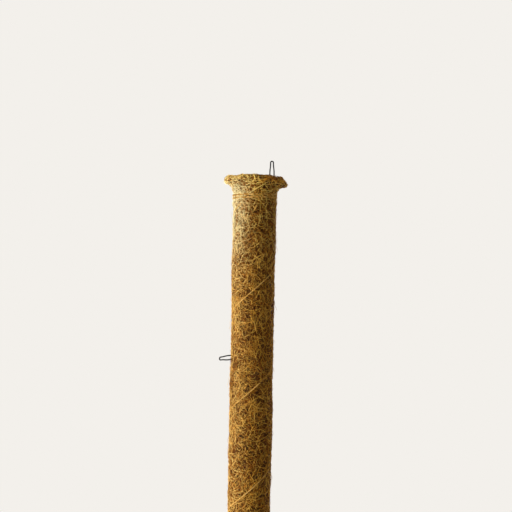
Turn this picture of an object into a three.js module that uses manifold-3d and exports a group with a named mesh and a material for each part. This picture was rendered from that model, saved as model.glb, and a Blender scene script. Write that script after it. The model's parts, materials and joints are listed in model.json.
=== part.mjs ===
// A coir climbing pole: a plastic pipe rolled in two wraps of coir mat, bound with yarn and thread,
// with bent wire hairpins pushed into the mat. Millimetres, +Z up. The origin is on the pole's axis
// at the soil line, where the mat ends and the bare pipe goes down into the soil.

import * as THREE from 'three';
import { mergeVertices } from 'three/addons/utils/BufferGeometryUtils.js';
import Module from 'manifold-3d';

const wasm = await Module();
wasm.setup();

// Driving dimensions
const CLEARANCE = 0.3; // left between pieces that touch
const ROUND_STEPS = 48; // facets around the pipe and the mat

const PIPE_DIAMETER = 25;
const PIPE_WALL = 1.8;
const PIPE_CHAMFER = 0.4;
const SOIL_DEPTH = 120; // bare pipe below the soil line

const MAT_HEIGHT = 480; // soil line to the top of the lip
const PIPE_RECESS = 14; // from the top of the lip down to the pipe's end
const INNER_MAT = 3.8; // thickness of the inner wrap
const OUTER_MAT = 4.1; // thickness of the outer wrap
const SEAM_GAP = 0.6; // between the two long edges of a wrap
const OUTER_SEAM_ANGLE = 90; // degrees from +X, at the back
const INNER_SEAM_ANGLE = 270;
const FLARE_RADIUS = 18; // bend of the lip, to the middle of the mat
const FLARE_ANGLE = 62; // degrees that the lip bends outwards
const FLARE_STEPS = 8;
const LIP_ROUND = 1.2; // rounding of the lip's two edges
const LIP_STEPS = 3;

const YARN_DIAMETER = 2; // yarn of the lashings
const LASHING_TURNS = 2;
const LASHING_GAP = 0.6; // between a lashing's turns
const NECK_SETBACK = 0.5; // from the start of the flare down to the neck lashing
const FOOT_SETBACK = 10; // from the mat's lower end up to the foot lashing
const THREAD_DIAMETER = 1.2; // thread of the spiral binding
const SPIRAL_PITCH = 98;
const SPIRAL_CROSSING = 114.5; // below the lip's top, where the thread crosses the front
const SPIRAL_SETBACK = 3; // from a lashing to the end of the spiral
const FRONT_ANGLE = -90; // degrees from +X
const LOOP_STEPS = 24;
const TWINE_SIDES = 6;
const TUCK_STEPS = 4; // in the bend where an end turns into the mat
const TUCK_BEND = 2.5; // bend radius of a tucked end, in radii of the twine

const WIRE_DIAMETER = 1.1; // wire of the hairpins
const PIN_SPREAD = 4.2; // between the legs' centre lines
const CROWN_RADIUS = 1.4; // to the wire's centre line
const SHOULDER_LENGTH = 13; // from the crown's top to where the legs run parallel
const LEG_LENGTH = 23; // of the parallel legs
const WIRE_SIDES = 8;
const WIRE_STEPS = 44;
const HOLE_SIDES = 8;
const TIP_ROOM = 1; // left in the mat beyond a leg's tip
const TOP_LEG_SHOW = 16; // of the upper pin's legs, out of the inner wrap
const SIDE_LEG_SHOW = 3; // of the side pin's legs, out of the mat
const SIDE_PIN_DROP = 182.5; // the side pin below the lip's top

// Sizes that follow from them
const pipeRadius = PIPE_DIAMETER / 2;
const innerMatInside = pipeRadius + CLEARANCE;
const innerMatOutside = innerMatInside + INNER_MAT;
const outerMatInside = innerMatOutside + CLEARANCE;
const outerMatOutside = outerMatInside + OUTER_MAT;
const pipeTop = MAT_HEIGHT - PIPE_RECESS;
const innerMatMiddle = (innerMatInside + innerMatOutside) / 2;
const outerMatMiddle = (outerMatInside + outerMatOutside) / 2;
const lipRound = Math.min(LIP_ROUND, OUTER_MAT / 3);
const pinLength = LEG_LENGTH + SHOULDER_LENGTH;
const lashingPitch = YARN_DIAMETER + LASHING_GAP;
const lashingHeight = LASHING_TURNS * lashingPitch + YARN_DIAMETER;

// The flare's outline from its underside round the lip to its inside, as pairs of how far round
// the bend a point is and how far outside the middle of the mat.
function flareOutline() {
  const half = OUTER_MAT / 2;
  const fullTurn = THREE.MathUtils.degToRad(FLARE_ANGLE);
  const edgeTurn = lipRound / FLARE_RADIUS;
  const underside = [];
  for (let step = 0; step <= FLARE_STEPS; step += 1) {
    underside.push([((fullTurn - edgeTurn) * step) / FLARE_STEPS, half]);
  }
  for (let step = 1; step <= LIP_STEPS; step += 1) {
    const round = (step / LIP_STEPS) * (Math.PI / 2);
    const turn = fullTurn - edgeTurn * (1 - Math.sin(round));
    underside.push([turn, half - lipRound * (1 - Math.cos(round))]);
  }
  const inside = underside.toReversed().map(([turn, outside]) => [turn, -outside]);
  return [...underside, ...inside];
}

const flare = flareOutline();
const flareRise = flare.map(([turn, outside]) => (FLARE_RADIUS - outside) * Math.sin(turn));
const flareStart = MAT_HEIGHT - Math.max(...flareRise);
const neckLashingTop = flareStart - NECK_SETBACK;
const footLashingTop = FOOT_SETBACK + lashingHeight;

const material = (color, roughness, metalness = 0) =>
  new THREE.MeshStandardMaterial({ color, roughness, metalness });
const plastic = () => material(0xd8d5ca, 0.45);
const coir = () => material(0x9c6d34, 0.95);
const twine = () => material(0xc4a066, 0.9);
const darkWire = () => material(0x1e1c1a, 0.45, 0.8);

// Solids for cutting

function solidOf(geometry) {
  const bare = geometry.clone();
  bare.deleteAttribute('normal');
  bare.deleteAttribute('uv');
  const merged = mergeVertices(bare, 1e-4);
  return new wasm.Manifold(
    new wasm.Mesh({
      numProp: 3,
      vertProperties: new Float32Array(merged.attributes.position.array),
      triVerts: new Uint32Array(merged.index.array),
    }),
  );
}

function geometryOf(solid) {
  const { vertProperties, triVerts } = solid.getMesh();
  const geometry = new THREE.BufferGeometry();
  geometry.setAttribute('position', new THREE.BufferAttribute(new Float32Array(vertProperties), 3));
  geometry.setIndex(new THREE.BufferAttribute(new Uint32Array(triVerts), 1));
  geometry.computeVertexNormals();
  return geometry;
}

const cut = (geometry, tools) =>
  geometryOf(tools.reduce((solid, tool) => solid.subtract(solidOf(tool)), solidOf(geometry)));

// A closed outline of radius and height, turned about the Z axis.
function turned(outline) {
  const loop = [...outline, outline[0]].map(([radius, height]) => new THREE.Vector2(radius, height));
  return new THREE.LatheGeometry(loop, ROUND_STEPS).rotateX(Math.PI / 2);
}

const around = (degrees, radius, height) => {
  const angle = THREE.MathUtils.degToRad(degrees);
  return new THREE.Vector3(radius * Math.cos(angle), radius * Math.sin(angle), height);
};

// The slit between a wrap's two long edges, as a thin slab that stands on the axis.
function seam(degrees) {
  const reach = 2 * (outerMatOutside + FLARE_RADIUS);
  const slab = new THREE.BoxGeometry(reach, SEAM_GAP, 3 * MAT_HEIGHT);
  return slab.translate(reach / 2, 0, 0).rotateZ(THREE.MathUtils.degToRad(degrees));
}

// A straight hole between two points, for a round piece of this diameter and its clearance.
function hole(from, to, diameter) {
  const radius = (diameter / 2 + CLEARANCE) / Math.cos(Math.PI / HOLE_SIDES);
  const way = to.clone().sub(from);
  const upright = new THREE.CylinderGeometry(radius, radius, way.length(), HOLE_SIDES);
  const turn = new THREE.Quaternion().setFromUnitVectors(
    new THREE.Vector3(0, 1, 0),
    way.clone().normalize(),
  );
  const middle = from.clone().lerp(to, 0.5);
  return upright.applyQuaternion(turn).translate(middle.x, middle.y, middle.z);
}

// Core pipe, cut square at both ends

function corePipe() {
  const bore = pipeRadius - PIPE_WALL;
  return turned([
    [bore, -SOIL_DEPTH],
    [pipeRadius - PIPE_CHAMFER, -SOIL_DEPTH],
    [pipeRadius, -SOIL_DEPTH + PIPE_CHAMFER],
    [pipeRadius, pipeTop - PIPE_CHAMFER],
    [pipeRadius - PIPE_CHAMFER, pipeTop],
    [bore, pipeTop],
  ]);
}

// Hairpins: a pin lies in its own XZ plane, with its crown's top at the origin and its legs down Z.

function hairpin() {
  const tip = -pinLength;
  const crown = -WIRE_DIAMETER / 2 - CROWN_RADIUS;
  const leg = PIN_SPREAD / 2;
  const bend = (crown - SHOULDER_LENGTH) / 2;
  const outline = new THREE.Path()
    .moveTo(-leg, tip)
    .lineTo(-leg, -SHOULDER_LENGTH)
    .bezierCurveTo(-leg, bend, -CROWN_RADIUS, bend, -CROWN_RADIUS, crown)
    .absarc(0, crown, CROWN_RADIUS, Math.PI, 0, true)
    .bezierCurveTo(CROWN_RADIUS, bend, leg, bend, leg, -SHOULDER_LENGTH)
    .lineTo(leg, tip);
  const route = outline.getSpacedPoints(WIRE_STEPS).map(({ x, y }) => new THREE.Vector3(x, 0, y));
  const section = new THREE.Shape();
  section.absarc(0, 0, WIRE_DIAMETER / 2, 0, 2 * Math.PI);
  return new THREE.ExtrudeGeometry(section, {
    steps: WIRE_STEPS,
    curveSegments: WIRE_SIDES / 2, // a circle gets two sides per segment
    extrudePath: new THREE.CatmullRomCurve3(route),
  });
}

// The upper pin stands on the joint between the two wraps, with one leg in each.
const topPinPlace = new THREE.Matrix4().makeTranslation(
  innerMatOutside + CLEARANCE / 2,
  0,
  pipeTop + TOP_LEG_SHOW + SHOULDER_LENGTH,
);

// The side pin lies level, legs one above the other, and goes in aslant, so that it passes the pipe
// in the middle of the inner wrap.
function sidePinPlacement() {
  const slant = Math.asin(innerMatMiddle / outerMatOutside);
  const outwards = new THREE.Vector3(-Math.cos(slant), -Math.sin(slant), 0);
  const upwards = new THREE.Vector3(0, 0, 1);
  const sideways = outwards.clone().cross(upwards);
  const crown = new THREE.Vector3(-outerMatOutside, 0, MAT_HEIGHT - SIDE_PIN_DROP);
  crown.addScaledVector(outwards, SIDE_LEG_SHOW + SHOULDER_LENGTH);
  return new THREE.Matrix4().makeBasis(upwards, sideways, outwards).setPosition(crown);
}

const sidePinPlace = sidePinPlacement();

// The ways of a pin's two legs through the mat.
const legHoles = (place) =>
  [-PIN_SPREAD / 2, PIN_SPREAD / 2].map((x) =>
    hole(
      new THREE.Vector3(x, 0, -pinLength - TIP_ROOM).applyMatrix4(place),
      new THREE.Vector3(x, 0, 0).applyMatrix4(place),
      WIRE_DIAMETER,
    ),
  );

// Windings: helices on the outer wrap, whose two ends turn square into the mat.

const windingRadius = (diameter) =>
  (outerMatOutside + CLEARANCE + diameter / 2) / Math.cos(Math.PI / LOOP_STEPS);

// An end leaves the helix at a point along its heading, bends inwards and runs straight for a diameter.
function tuckedEnd(point, heading, diameter) {
  const bend = (TUCK_BEND * diameter) / 2;
  const inwards = new THREE.Vector3(-point.x, -point.y, 0).normalize();
  const way = [];
  for (let step = 1; step <= TUCK_STEPS; step += 1) {
    const turn = (step / TUCK_STEPS) * (Math.PI / 2);
    way.push(
      point
        .clone()
        .addScaledVector(heading, bend * Math.sin(turn))
        .addScaledVector(inwards, bend * (1 - Math.cos(turn))),
    );
  }
  way.push(way.at(-1).clone().addScaledVector(inwards, diameter));
  return way;
}

function winding(diameter, startAngle, bottom, turns, pitch) {
  const radius = windingRadius(diameter);
  const steps = Math.round(turns * LOOP_STEPS);
  const helix = [];
  for (let step = 0; step <= steps; step += 1) {
    const turn = (turns * step) / steps;
    helix.push(around(startAngle + 360 * turn, radius, bottom + pitch * turn));
  }
  const backwards = helix[0].clone().sub(helix[1]).normalize();
  const onwards = helix.at(-1).clone().sub(helix.at(-2)).normalize();
  const start = tuckedEnd(helix[0], backwards, diameter);
  const end = tuckedEnd(helix.at(-1), onwards, diameter);
  return { diameter, helix, route: [...start.toReversed(), ...helix, ...end], ends: [start, end] };
}

const tuckHoles = ({ diameter, ends }) =>
  ends.map((end) => {
    const tip = end.at(-1);
    const mouth = end.at(-2);
    const outside = mouth.clone().lerp(tip, -2);
    return hole(outside, tip.clone().lerp(mouth, -CLEARANCE / diameter), diameter);
  });

// The least gap between points of a winding that are at least half a turn apart.
function leastGap({ diameter, helix }) {
  let least = Infinity;
  helix.forEach((point, index) => {
    for (const other of helix.slice(index + LOOP_STEPS / 2)) {
      least = Math.min(least, point.distanceTo(other) - diameter);
    }
  });
  return least;
}

// A closed round tube through the points of a route, with flat ends.
function tube({ diameter, route }) {
  const last = route.length - 1;
  const side = new THREE.Vector3(0, 0, 1);
  const positions = [];
  const faces = [];
  route.forEach((point, index) => {
    const ahead = route[Math.min(index + 1, last)];
    const behind = route[Math.max(index - 1, 0)];
    const heading = ahead.clone().sub(behind).normalize();
    side.addScaledVector(heading, -side.dot(heading)).normalize();
    const across = heading.clone().cross(side);
    for (let corner = 0; corner < TWINE_SIDES; corner += 1) {
      const angle = (2 * Math.PI * corner) / TWINE_SIDES;
      const spot = point
        .clone()
        .addScaledVector(side, (diameter / 2) * Math.cos(angle))
        .addScaledVector(across, (diameter / 2) * Math.sin(angle));
      positions.push(spot.x, spot.y, spot.z);
    }
  });
  for (let ring = 0; ring < last; ring += 1) {
    for (let corner = 0; corner < TWINE_SIDES; corner += 1) {
      const next = (corner + 1) % TWINE_SIDES;
      const here = ring * TWINE_SIDES;
      const there = here + TWINE_SIDES;
      faces.push(here + corner, here + next, there + next);
      faces.push(here + corner, there + next, there + corner);
    }
  }
  const end = last * TWINE_SIDES;
  for (let corner = 1; corner < TWINE_SIDES - 1; corner += 1) {
    faces.push(0, corner + 1, corner);
    faces.push(end, end + corner, end + corner + 1);
  }
  const geometry = new THREE.BufferGeometry();
  geometry.setAttribute('position', new THREE.Float32BufferAttribute(positions, 3));
  geometry.setIndex(faces);
  geometry.computeVertexNormals();
  return geometry;
}

// A lashing's two ends go into the back seam, one above the other.
function lashing(top) {
  const bend = (TUCK_BEND * YARN_DIAMETER) / 2;
  const inset = THREE.MathUtils.radToDeg(bend / windingRadius(YARN_DIAMETER));
  const turns = LASHING_TURNS - (2 * inset) / 360;
  const bottom = top - lashingHeight + YARN_DIAMETER / 2;
  return winding(YARN_DIAMETER, OUTER_SEAM_ANGLE + inset, bottom, turns, lashingPitch);
}

function spiral() {
  const bottom = footLashingTop + SPIRAL_SETBACK;
  const top = neckLashingTop - lashingHeight - SPIRAL_SETBACK;
  const crossing = MAT_HEIGHT - SPIRAL_CROSSING;
  const startAngle = FRONT_ANGLE + (360 * (bottom - crossing)) / SPIRAL_PITCH;
  return winding(THREAD_DIAMETER, startAngle, bottom, (top - bottom) / SPIRAL_PITCH, SPIRAL_PITCH);
}

const neckLashing = lashing(neckLashingTop);
const footLashing = lashing(footLashingTop);
const spiralBinding = spiral();

for (const [name, form] of Object.entries({ neckLashing, footLashing, spiralBinding })) {
  console.log(`${name}: least gap to itself ${leastGap(form).toFixed(2)} mm`);
}

// Coir wraps

const holes = [
  ...legHoles(topPinPlace),
  ...legHoles(sidePinPlace),
  ...[neckLashing, footLashing, spiralBinding].flatMap(tuckHoles),
];

function innerWrap() {
  const sleeve = turned([
    [innerMatInside, 0],
    [innerMatOutside, 0],
    [innerMatOutside, pipeTop],
    [innerMatInside, pipeTop],
  ]);
  return cut(sleeve, [seam(INNER_SEAM_ANGLE), ...holes]);
}

function outerWrap() {
  const lip = flare.map(([turn, outside]) => {
    const reach = FLARE_RADIUS - outside;
    return [outerMatMiddle + FLARE_RADIUS - reach * Math.cos(turn), flareStart + reach * Math.sin(turn)];
  });
  const sleeve = turned([[outerMatInside, 0], [outerMatOutside, 0], ...lip]);
  return cut(sleeve, [seam(OUTER_SEAM_ANGLE), ...holes]);
}

// The pole

const pole = new THREE.Group();

function add(name, geometry, finish, place = new THREE.Matrix4()) {
  const mesh = new THREE.Mesh(geometry, finish);
  mesh.name = name;
  mesh.applyMatrix4(place);
  pole.add(mesh);
}

add('core_pipe', corePipe(), plastic());
add('coir_inner_wrap', innerWrap(), coir());
add('coir_outer_wrap', outerWrap(), coir());
add('neck_lashing', tube(neckLashing), twine());
add('spiral_binding', tube(spiralBinding), twine());
add('foot_lashing', tube(footLashing), twine());
add('vine_pin_top', hairpin(), darkWire(), topPinPlace);
add('vine_pin_left', hairpin(), darkWire(), sidePinPlace);

export default pole;
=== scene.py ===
# %% [markdown]
# This lesson dresses a moss pole: a plastic pipe rolled in two layers of coir mat, bound with
# yarn and thread, with two wire hairpins pushed into the mat. The packed solids come in first
# and are never moved. All that is made here lies in the same frame, in metres: Z runs up the
# pole, zero is the soil line and the viewer stands towards minus Y. The box of the bare solids
# is kept and printed, and the floor is laid at its foot. The box of the bare solids is kept,
# because the looks may stand only a little proud of it.

# %% Load the packed solids
import json
import math

import bmesh
import bpy
import numpy as np
from mathutils import Matrix, Vector


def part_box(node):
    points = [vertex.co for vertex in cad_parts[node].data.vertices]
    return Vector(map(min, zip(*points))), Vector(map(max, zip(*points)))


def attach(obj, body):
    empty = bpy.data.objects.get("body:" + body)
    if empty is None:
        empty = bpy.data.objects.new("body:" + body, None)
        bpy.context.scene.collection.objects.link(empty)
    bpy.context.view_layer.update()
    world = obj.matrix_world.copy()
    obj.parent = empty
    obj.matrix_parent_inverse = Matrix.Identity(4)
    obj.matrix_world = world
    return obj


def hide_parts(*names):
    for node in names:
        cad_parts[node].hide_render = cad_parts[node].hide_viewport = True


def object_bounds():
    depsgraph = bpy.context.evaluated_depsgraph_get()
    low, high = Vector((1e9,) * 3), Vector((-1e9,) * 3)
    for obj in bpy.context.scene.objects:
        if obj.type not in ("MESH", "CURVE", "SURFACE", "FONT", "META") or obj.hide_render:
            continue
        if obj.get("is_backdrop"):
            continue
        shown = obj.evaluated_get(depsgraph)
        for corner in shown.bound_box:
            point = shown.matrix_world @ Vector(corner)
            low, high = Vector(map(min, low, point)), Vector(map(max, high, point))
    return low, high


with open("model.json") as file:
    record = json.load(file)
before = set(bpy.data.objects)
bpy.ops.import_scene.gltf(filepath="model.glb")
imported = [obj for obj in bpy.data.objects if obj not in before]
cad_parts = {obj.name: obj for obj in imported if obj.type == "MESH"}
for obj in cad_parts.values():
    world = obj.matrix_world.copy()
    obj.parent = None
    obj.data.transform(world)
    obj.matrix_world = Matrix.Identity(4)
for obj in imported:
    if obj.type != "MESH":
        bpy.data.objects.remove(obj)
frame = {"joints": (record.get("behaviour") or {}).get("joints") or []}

MM = 0.001
scene = bpy.context.scene
cad_low, cad_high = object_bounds()
print("solids, mm:", [round((high - low) / MM, 1) for low, high in zip(cad_low, cad_high)])

# %% [markdown]
# The camera comes first, because every later look is judged through it. It stands a metre off,
# level, a little below the lip, so that the lip's underside shows. A long lens keeps the pole's
# sides nearly parallel. The pole leans about one degree to the right in the picture, and it is
# simpler to roll the camera than to tilt everything else.

# %% Camera
PICTURE = 512  # pixels
PIXEL = 1.0 * MM  # what a pixel shows at the pole
SENSOR = 36.0  # mm, as Blender counts lenses
VIEW_DISTANCE = 1.0
EYE_HEIGHT = 0.3994
SIDE_STEP = 2.3 * MM
LEAN = math.radians(1.07)

lens = bpy.data.cameras.new("camera")
lens.sensor_width = SENSOR
lens.lens = SENSOR * VIEW_DISTANCE / (PICTURE * PIXEL)
camera = bpy.data.objects.new("camera", lens)
camera.location = (SIDE_STEP, -VIEW_DISTANCE, EYE_HEIGHT)
camera.rotation_euler = (math.radians(90), -LEAN, 0.0)
scene.collection.objects.link(camera)
scene.camera = camera
scene.view_settings.view_transform = "Standard"
print("lens, mm:", round(lens.lens, 2))

# %% [markdown]
# Shader maths reads best as plain sums. The small class below wraps one output of a node, and
# its operators add Math nodes, so that 1 - mask works as written. Joining the nodes by hand
# would take three lines for every sum.

# %% Shader maths
class Value:
    """One output of a shader node, on which plain arithmetic works."""

    def __init__(self, recipe, socket):
        self.recipe = recipe
        self.socket = socket

    def math(self, operation, first, second=0.0):
        return self.recipe.node("Math", {"operation": operation}, {0: first, 1: second})

    def __add__(self, other):
        return self.math("ADD", self, other)

    def __sub__(self, other):
        return self.math("SUBTRACT", self, other)

    def __rsub__(self, other):
        return self.math("SUBTRACT", other, self)

    def __mul__(self, other):
        return self.math("MULTIPLY", self, other)

    __radd__ = __add__
    __rmul__ = __mul__

    def between(self, low, high):
        """0 below low, 1 above high and a smooth rise from one to the other."""
        settings = {"interpolation_type": "SMOOTHSTEP"}
        return self.recipe.node("MapRange", settings, {0: self, 1: low, 2: high})


print("reflected operators:", [name for name in vars(Value) if name.startswith("__r")])

# %% [markdown]
# Colours are written as they look on a screen, in six hexadecimal digits, because that is how
# the eye picks them. Nodes take linear values, so one function turns the one into the other.

# %% Colours
def dye(code):
    """A colour such as C99B55 as linear values."""
    shares = [int(code[k:k + 2], 16) / 255 for k in (0, 2, 4)]
    linear = [c / 12.92 if c <= 0.04045 else ((c + 0.055) / 1.055) ** 2.4 for c in shares]
    return (*linear, 1.0)


def set_stops(ramp, stops):
    """Gives a colour ramp its stops, each a place and a colour."""
    while len(ramp.elements) < len(stops):
        ramp.elements.new(1.0)
    for element, (place, colour) in zip(ramp.elements, stops):
        element.position = place
        element.color = dye(colour)


print("straw as linear values:", [round(share, 3) for share in dye("F3E7B4")])

# %% [markdown]
# A finish is a recipe of nodes. Every kind of node comes from one method, which takes the node's
# kind, its settings and what goes into its sockets. The methods below it are short names for the
# nodes that a fibrous thing needs most: noise, stretched noise, mixtures, ramps and bumps. All
# patterns are read at a piece's own coordinates, so they stay on it when it moves.

# %% Recipes of nodes
class Recipe:
    """The nodes of one material or of the world."""

    def __init__(self, owner):
        owner.use_nodes = True
        self.owner = owner
        self.tree = owner.node_tree

    def plug(self, socket, value):
        if isinstance(value, Value):
            self.tree.links.new(value.socket, socket)
        else:
            socket.default_value = value

    def node(self, kind, settings, sockets, output=0):
        made = self.tree.nodes.new("ShaderNode" + kind)
        for name, setting in settings.items():
            if name == "stops":
                set_stops(made.color_ramp, setting)
            else:
                setattr(made, name, setting)
        for name, value in sockets.items():
            self.plug(made.inputs[name], value)
        return Value(self, made.outputs[output])

    def noise(self, place, scale, detail=2.0, distortion=0.0):
        sockets = {"Vector": place, "Scale": scale, "Detail": detail, "Distortion": distortion}
        return self.node("TexNoise", {}, sockets)

    def mixed(self, share, first, second):
        return self.node("Mix", {"data_type": "RGBA"}, {0: share, 6: first, 7: second}, 2)

    def stretched(self, place, scale):
        return self.node("Mapping", {}, {"Vector": place, "Scale": scale})

    def ramp(self, value, *stops):
        return self.node("ValToRGB", {"stops": stops}, {0: value})

    def bump(self, height, strength, distance):
        sockets = {"Strength": strength, "Distance": distance, "Height": height}
        return self.node("Bump", {}, sockets)

    def finish(self, sockets):
        shader = self.tree.nodes["Principled BSDF"]
        for name, value in sockets.items():
            self.plug(shader.inputs[name], value)
        print("finish:", self.owner.name, len(self.tree.nodes), "nodes")
        return self.owner


def new_finish(name):
    """The recipe of a new material, and the place on a piece that its patterns are read at."""
    recipe = Recipe(bpy.data.materials.new(name))
    return recipe, recipe.node("TexCoord", {}, {}, "Object")


print("short names for nodes:", [name for name in vars(Recipe) if not name.startswith("_")])

# %% [markdown]
# The pole stands in soft daylight from the left, before a pale backdrop. A large lamp on the left
# gives that light, the world gives a weak fill, and a lamp behind serves whoever walks round the
# pole. The backdrop is only a colour that the world shows to camera, mirror and glass rays, so
# it adds no light to the pole.

# %% Backdrop and lamps
BACKDROP = dye("F3F0EB")
DAYLIGHT = (1.0, 0.99, 0.97, 1.0)
FILL = 0.30

world = bpy.data.worlds.new("studio")
scene.world = world
air = Recipe(world)
camera_ray = air.node("LightPath", {}, {}, "Is Camera Ray")
mirror_ray = air.node("LightPath", {}, {}, "Is Glossy Ray")
glass_ray = air.node("LightPath", {}, {}, "Is Transmission Ray")
seen = (camera_ray + mirror_ray + glass_ray).between(0.0, 1.0)
fill = air.node("Background", {}, {"Color": DAYLIGHT, "Strength": FILL})
backdrop = air.node("Background", {}, {"Color": BACKDROP, "Strength": 1.0})
sky = air.node("MixShader", {}, {0: seen, 1: fill, 2: backdrop})
air.plug(air.tree.nodes["World Output"].inputs["Surface"], sky)


def lamp(name, place, target, size, power):
    """A square soft lamp that looks at a point."""
    light = bpy.data.lights.new(name, "AREA")
    light.size = size
    light.energy = power
    stand = bpy.data.objects.new(name, light)
    away = Vector(place) - Vector(target)
    stand.location = place
    stand.rotation_euler = away.to_track_quat("Z", "Y").to_euler()
    scene.collection.objects.link(stand)
    print("lamp:", name, round(away.length, 2), "m off")


lamp("window", place=(-1.62, -0.57, 0.26), target=(0.0, 0.0, 0.40), size=0.8, power=50.0)
lamp("back_window", place=(0.70, 1.85, 0.9), target=(0.0, 0.0, 0.25), size=1.2, power=26.0)

# %% [markdown]
# The floor is a pale round board under the pole's foot. Towards its rim it takes on the
# backdrop's colour, so that no edge shows from above. It lies below the picture's lower edge,
# and it keeps the pole's shadow for the other views.

# %% Floor
FLOOR_RADIUS = 0.9
FADE_FROM = 0.30 * FLOOR_RADIUS
FADE_TO = 0.97 * FLOOR_RADIUS

board = bmesh.new()
bmesh.ops.create_circle(board, cap_ends=True, radius=FLOOR_RADIUS, segments=96)
bmesh.ops.translate(board, verts=board.verts, vec=(0.0, 0.0, cad_low.z))
floor_mesh = bpy.data.meshes.new("floor")
board.to_mesh(floor_mesh)
board.free()
floor = bpy.data.objects.new("floor", floor_mesh)
scene.collection.objects.link(floor)
floor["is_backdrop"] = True

paper, place = new_finish("floor_paper")
reach = paper.node("VectorMath", {"operation": "LENGTH"}, {0: place}, "Value")
tint = paper.mixed(paper.noise(place, 60.0, 4.0), dye("E9E6E0"), dye("EFECE7"))
floor_mesh.materials.append(paper.finish({"Base Color": tint, "Roughness": 0.85}))
glow = paper.node("Emission", {}, {"Color": BACKDROP, "Strength": 1.0})
matte = Value(paper, paper.tree.nodes["Principled BSDF"].outputs[0])
faded = paper.node("MixShader", {}, {0: reach.between(FADE_FROM, FADE_TO), 1: matte, 2: glow})
paper.plug(paper.tree.nodes["Material Output"].inputs["Surface"], faded)

# %% [markdown]
# Pipe and mat are round, so they start as an outline that is spun about the pole's axis. Three
# helpers serve all pieces: one spins an outline, one makes a mesh of the result, and one puts
# the mesh into the scene, where it rides on a body and stands for the solids that it replaces.

# %% Spin, shade and place
ROUND = 96  # steps of a full turn
SAME_SPOT = 1e-6  # metres
SHARP = math.radians(50)  # between faces, from which an edge is shaded sharp


def spun(outline, steps, slit=0.0, start=0.0):
    """A closed outline of radius and height, spun round the pole's axis, less a slit."""
    shape = bmesh.new()
    ring = [shape.verts.new((r * math.cos(start), r * math.sin(start), z)) for r, z in outline]
    loop = [shape.edges.new(pair) for pair in zip(ring, ring[1:] + ring[:1])]
    bmesh.ops.spin(
        shape, geom=ring + loop, cent=(0.0, 0.0, 0.0), axis=(0.0, 0.0, 1.0),
        angle=2 * math.pi - slit, steps=steps, use_merge=slit == 0.0, use_duplicate=False,
    )
    bmesh.ops.remove_doubles(shape, verts=shape.verts, dist=SAME_SPOT)
    open_edges = [edge for edge in shape.edges if edge.is_boundary]
    bmesh.ops.holes_fill(shape, edges=open_edges, sides=0)
    bmesh.ops.recalc_face_normals(shape, faces=shape.faces)
    return shape


def mesh_of(shape):
    """The finished mesh of a bmesh, with rounded shading and true edges left sharp."""
    mesh = bpy.data.meshes.new("shape")
    shape.to_mesh(mesh)
    shape.free()
    mesh.shade_smooth()
    mesh.set_sharp_from_angle(angle=SHARP)
    return mesh


def piece(name, mesh, body, slot, finish, *nodes):
    """Puts a mesh into the scene as a piece that rides on a body and stands for CAD nodes."""
    mesh.name = name
    mesh.materials.clear()
    mesh.materials.append(finish)
    made = bpy.data.objects.new(name, mesh)
    scene.collection.objects.link(made)
    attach(made, body)
    if nodes:
        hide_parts(*nodes)
    print("piece:", name, len(mesh.loops) - 2 * len(mesh.polygons), "triangles")


print("degrees from step to step of a turn:", 360 / ROUND)

# %% [markdown]
# The core is a length of stock plastic pipe. Only its foot, which goes into the soil, and the
# rim inside the lip can be seen. A cylinder with a bore cut through it would do, but a rectangle
# spun round the axis gives clean rings, and a bevel on its four rims takes off the sharp edges
# as a knife does after sawing.

# %% Core pipe
PIPE_WALL = 1.8 * MM
RIM_BEVEL = 0.35 * MM


def sleeve(inside, outside, low, high):
    """The outline of a straight sleeve."""
    return [(inside, low), (outside, low), (outside, high), (inside, high)]


pipe_low, pipe_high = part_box("core_pipe")
pipe_radius = pipe_high.x
tube = spun(sleeve(pipe_radius - PIPE_WALL, pipe_radius, pipe_low.z, pipe_high.z), ROUND)
level = [edge for edge in tube.edges if abs(edge.verts[0].co.z - edge.verts[1].co.z) < SAME_SPOT]
rims = [edge for edge in level if edge.calc_face_angle(0.0) > SHARP]
bmesh.ops.bevel(
    tube, geom=rims, offset=RIM_BEVEL, offset_type="OFFSET", segments=2,
    profile=0.5, affect="EDGES", material=-1,
)
print("pipe rims bevelled:", len(rims), "edges")

# %% [markdown]
# The plastic is a cream pipe with a satin skin. Drawing it out left faint lines along it, and
# the end that stands in the soil has taken a brown stain that thins out upwards. A painted map
# would need unwrapping. Noise stretched along the pole draws the lines without one, and the
# height above the soil line fades the stain.

# %% Pipe finish
STAIN_FULL = -60.0 * MM
STAIN_END = 12.0 * MM

plastic, place = new_finish("cream_pipe_plastic")
height = plastic.node("SeparateXYZ", {}, {0: place}, "Z")
lines = plastic.noise(plastic.stretched(place, (900.0, 900.0, 9.0)), 1.0, 3.0)
clouds = plastic.noise(place, 45.0, 4.0)
specks = plastic.noise(place, 900.0, 2.0)
buried = 1.0 - height.between(STAIN_FULL, STAIN_END)
stain = buried * (clouds.between(0.35, 0.75) + specks.between(0.55, 0.7)) * 0.55
cream = plastic.mixed(clouds, dye("C4C0B0"), dye("D4D0C2"))
cream = plastic.mixed(lines.between(0.35, 0.8) * 0.5, cream, dye("CBC4AF"))
pipe_finish = plastic.finish({
    "Base Color": plastic.mixed(stain, cream, dye("7A6140")),
    "Roughness": 0.34 + lines * 0.18 + stain * 0.35,
    "Normal": plastic.bump(lines + specks * 0.4, 0.25, 0.1 * MM),
})
piece("core_pipe_tube", mesh_of(tube), "pole", "pipe_plastic", pipe_finish, "core_pipe")

# %% [markdown]
# The mat is coir: coconut fibres needled into a springy sheet about four millimetres thick. The
# outer sheet is rolled round the pole, and its top opens into a lip like a trumpet's. Its outline
# is worked out once, as a line that runs from the foot up the outside, round the lip and down
# into the funnel, because the felt below and every fibre on it follow that line.

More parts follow.
